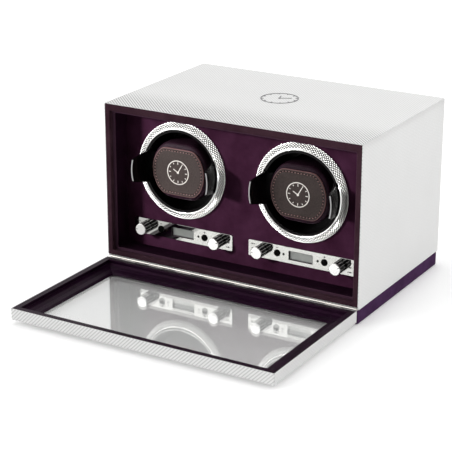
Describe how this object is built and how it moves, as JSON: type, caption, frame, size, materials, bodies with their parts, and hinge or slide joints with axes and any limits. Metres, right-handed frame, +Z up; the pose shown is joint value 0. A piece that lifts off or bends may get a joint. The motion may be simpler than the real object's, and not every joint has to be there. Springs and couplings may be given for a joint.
{
  "type": "watch winder box",
  "caption": "White covered watch winder box with a plum lining, a glazed drop-front door on a piano hinge, chrome-ringed drums with watch cuffs and chrome control plates",
  "frame": {"origin": "centre of the underside of the base pad, on the surface the box stands on", "axes": "+X to the right as seen from the front, +Y from the front to the back, +Z up"},
  "size_m": [0.34, 0.4185, 0.2134],
  "materials": {
    "white_cover": "fine diagonal weave embossed in a pearl white covering",
    "lining_suede": "dark plum suede cloth",
    "door_suede": "dark plum suede cloth",
    "plinth_suede": "dark blue-plum cloth",
    "pad_felt": "black felt",
    "window_glass": "clear flat glass",
    "hinge_nickel": "polished warm nickel plate",
    "steel": "plain steel",
    "bezel_chrome": "knurled band and polished lip",
    "plate_chrome": "mirror polished",
    "knob_chrome": "polished and fluted",
    "trim_silver": "satin silver strip",
    "cup_gloss": "gloss black",
    "black_plastic": "moulded black",
    "button_black": "satin black",
    "cuff_leather": "soft dark plum leather",
    "face_leather": "smooth grey-brown leather with a stitched edge",
    "display_grey": "unlit liquid-crystal display",
    "lamp_clear": "clear epoxy lens",
    "board_green": "green board",
    "bush_bronze": "sintered bronze",
    "belt_rubber": "flat rubber belt",
    "emblem_grey": "inlaid grey line motif"
  },
  "bodies": {
    "case": {"case_top": "white_cover", "case_left_side": "white_cover", "case_right_side": "white_cover", "case_back": "white_cover", "case_floor": "white_cover", "plinth": "plinth_suede", "base_pad": "pad_felt", "front_trim": "lining_suede", "liner": "lining_suede", "fascia_panel": "lining_suede", "hinge_leaf_case": "hinge_nickel", "hinge_pin": "hinge_nickel", "hinge_screws_case": "steel", "catch_magnets": "steel", "shaft_bushes": "bush_bronze", "lcd_modules": "display_grey", "indicator_lamps": "lamp_clear", "rotary_switches": "black_plastic", "power_jack": "black_plastic", "top_emblem": "emblem_grey", "bezel_left": "bezel_chrome", "winder_housing_left": "black_plastic", "motor_left": "steel", "drive_belt_left": "belt_rubber", "control_plate_left": "plate_chrome", "circuit_board_left": "board_green", "bezel_right": "bezel_chrome", "winder_housing_right": "black_plastic", "motor_right": "steel", "drive_belt_right": "belt_rubber", "control_plate_right": "plate_chrome", "circuit_board_right": "board_green"},
    "door": {"door_shell": "white_cover", "door_liner": "door_suede", "door_glass": "window_glass", "hinge_leaf_door": "hinge_nickel", "hinge_screws_door": "steel", "catch_plates": "steel"},
    "rotor_left": {"rotor_cup_left": "cup_gloss", "wing_trim_left": "trim_silver", "rotor_shaft_left": "steel", "rotor_pulley_left": "black_plastic"},
    "cuff_left": {"cuff_pad_left": "cuff_leather", "cuff_face_left": "face_leather"},
    "motor_pulley_left": {"motor_pulley_left": "black_plastic"},
    "direction_knob_left": {"direction_knob_left": "knob_chrome"},
    "turns_knob_left": {"turns_knob_left": "knob_chrome"},
    "minus_button_left": {"minus_button_left": "button_black"},
    "plus_button_left": {"plus_button_left": "button_black"},
    "rotor_right": {"rotor_cup_right": "cup_gloss", "wing_trim_right": "trim_silver", "rotor_shaft_right": "steel", "rotor_pulley_right": "black_plastic"},
    "cuff_right": {"cuff_pad_right": "cuff_leather", "cuff_face_right": "face_leather"},
    "motor_pulley_right": {"motor_pulley_right": "black_plastic"},
    "direction_knob_right": {"direction_knob_right": "knob_chrome"},
    "turns_knob_right": {"turns_knob_right": "knob_chrome"},
    "minus_button_right": {"minus_button_right": "button_black"},
    "plus_button_right": {"plus_button_right": "button_black"}
  },
  "joints": [
    {"name": "door_hinge", "type": "hinge", "parent": "case", "child": "door", "pos_m": [0, -0.1125, 0.0195], "axis": [-1, 0, 0], "range_deg": [0, 90]},
    {"name": "rotor_spin_left", "type": "hinge", "parent": "case", "child": "rotor_left", "pos_m": [-0.0805, -0.0525, 0.1346], "axis": [0, 1, 0], "continuous": true},
    {"name": "cuff_slide_left", "type": "slide", "parent": "rotor_left", "child": "cuff_left", "axis": [0, 1, 0], "range_m": [-0.062, 0]},
    {"name": "motor_spin_left", "type": "hinge", "parent": "case", "child": "motor_pulley_left", "pos_m": [-0.0805, -0.0265, 0.0666], "axis": [0, 1, 0], "continuous": true},
    {"name": "direction_knob_turn_left", "type": "hinge", "parent": "case", "child": "direction_knob_left", "pos_m": [-0.1318, -0.0825, 0.0552], "axis": [0, 1, 0], "range_deg": [-135, 135]},
    {"name": "turns_knob_turn_left", "type": "hinge", "parent": "case", "child": "turns_knob_left", "pos_m": [-0.0292, -0.0825, 0.0552], "axis": [0, 1, 0], "range_deg": [-135, 135]},
    {"name": "minus_button_press_left", "type": "slide", "parent": "case", "child": "minus_button_left", "axis": [0, 1, 0], "range_m": [0, 0.001], "stiffness_N_per_m": 300},
    {"name": "plus_button_press_left", "type": "slide", "parent": "case", "child": "plus_button_left", "axis": [0, 1, 0], "range_m": [0, 0.001], "stiffness_N_per_m": 300},
    {"name": "rotor_spin_right", "type": "hinge", "parent": "case", "child": "rotor_right", "pos_m": [0.0805, -0.0525, 0.1346], "axis": [0, 1, 0], "continuous": true},
    {"name": "cuff_slide_right", "type": "slide", "parent": "rotor_right", "child": "cuff_right", "axis": [0, 1, 0], "range_m": [-0.062, 0]},
    {"name": "motor_spin_right", "type": "hinge", "parent": "case", "child": "motor_pulley_right", "pos_m": [0.0805, -0.0265, 0.0666], "axis": [0, 1, 0], "continuous": true},
    {"name": "direction_knob_turn_right", "type": "hinge", "parent": "case", "child": "direction_knob_right", "pos_m": [0.0292, -0.0825, 0.0552], "axis": [0, 1, 0], "range_deg": [-135, 135]},
    {"name": "turns_knob_turn_right", "type": "hinge", "parent": "case", "child": "turns_knob_right", "pos_m": [0.1318, -0.0825, 0.0552], "axis": [0, 1, 0], "range_deg": [-135, 135]},
    {"name": "minus_button_press_right", "type": "slide", "parent": "case", "child": "minus_button_right", "axis": [0, 1, 0], "range_m": [0, 0.001], "stiffness_N_per_m": 300},
    {"name": "plus_button_press_right", "type": "slide", "parent": "case", "child": "plus_button_right", "axis": [0, 1, 0], "range_m": [0, 0.001], "stiffness_N_per_m": 300}
  ],
  "couplings": [
    {"joint": "motor_spin_left", "follows": "rotor_spin_left", "ratio": 2.5},
    {"joint": "motor_spin_right", "follows": "rotor_spin_right", "ratio": 2.5}
  ]
}
